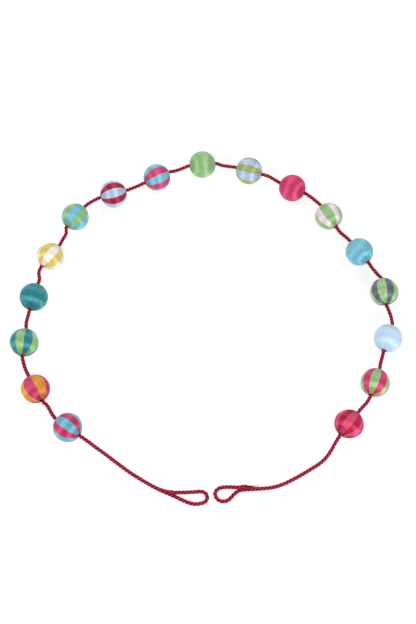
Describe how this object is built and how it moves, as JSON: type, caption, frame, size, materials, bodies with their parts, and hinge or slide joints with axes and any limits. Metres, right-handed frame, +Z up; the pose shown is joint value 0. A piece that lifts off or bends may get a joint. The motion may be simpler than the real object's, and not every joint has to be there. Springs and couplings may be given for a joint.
{
  "type": "silk bauble garland",
  "caption": "Hanging garland of round baubles wound in plain and striped silk thread, strung on a twisted cord with a loop at each end.",
  "frame": {"origin": "on the surface that the garland lies on, in the middle of the balls' spread", "axes": "+Z up; +X across the open ring, to the right of someone who stands at the two loops; +Y from the loops towards the far side of the ring"},
  "size_m": [0.5496, 0.5314, 0.0395],
  "materials": {
    "silk_pink": "glossy wound silk thread",
    "silk_magenta": "glossy wound silk thread",
    "silk_rose": "glossy wound silk thread",
    "silk_white": "glossy wound silk thread",
    "silk_light_green": "glossy wound silk thread",
    "silk_teal": "glossy wound silk thread",
    "silk_turquoise": "glossy wound silk thread",
    "silk_sky_blue": "glossy wound silk thread",
    "silk_pale_blue": "glossy wound silk thread",
    "cord_wine": "satin three-strand twisted silk cord"
  },
  "bodies": {
    "root": {"ball_01": "silk_pink", "ball_02": "silk_magenta", "ball_03": "silk_teal", "ball_04": "silk_teal", "ball_05": "silk_white", "ball_06": "silk_turquoise", "ball_07": "silk_pale_blue", "ball_08": "silk_pink", "ball_09": "silk_light_green", "ball_10": "silk_pale_blue", "ball_11": "silk_pink", "ball_12": "silk_light_green", "ball_13": "silk_turquoise", "ball_14": "silk_light_green", "ball_15": "silk_sky_blue", "ball_16": "silk_light_green", "ball_17": "silk_rose", "cord": "cord_wine"}
  },
  "joints": []
}
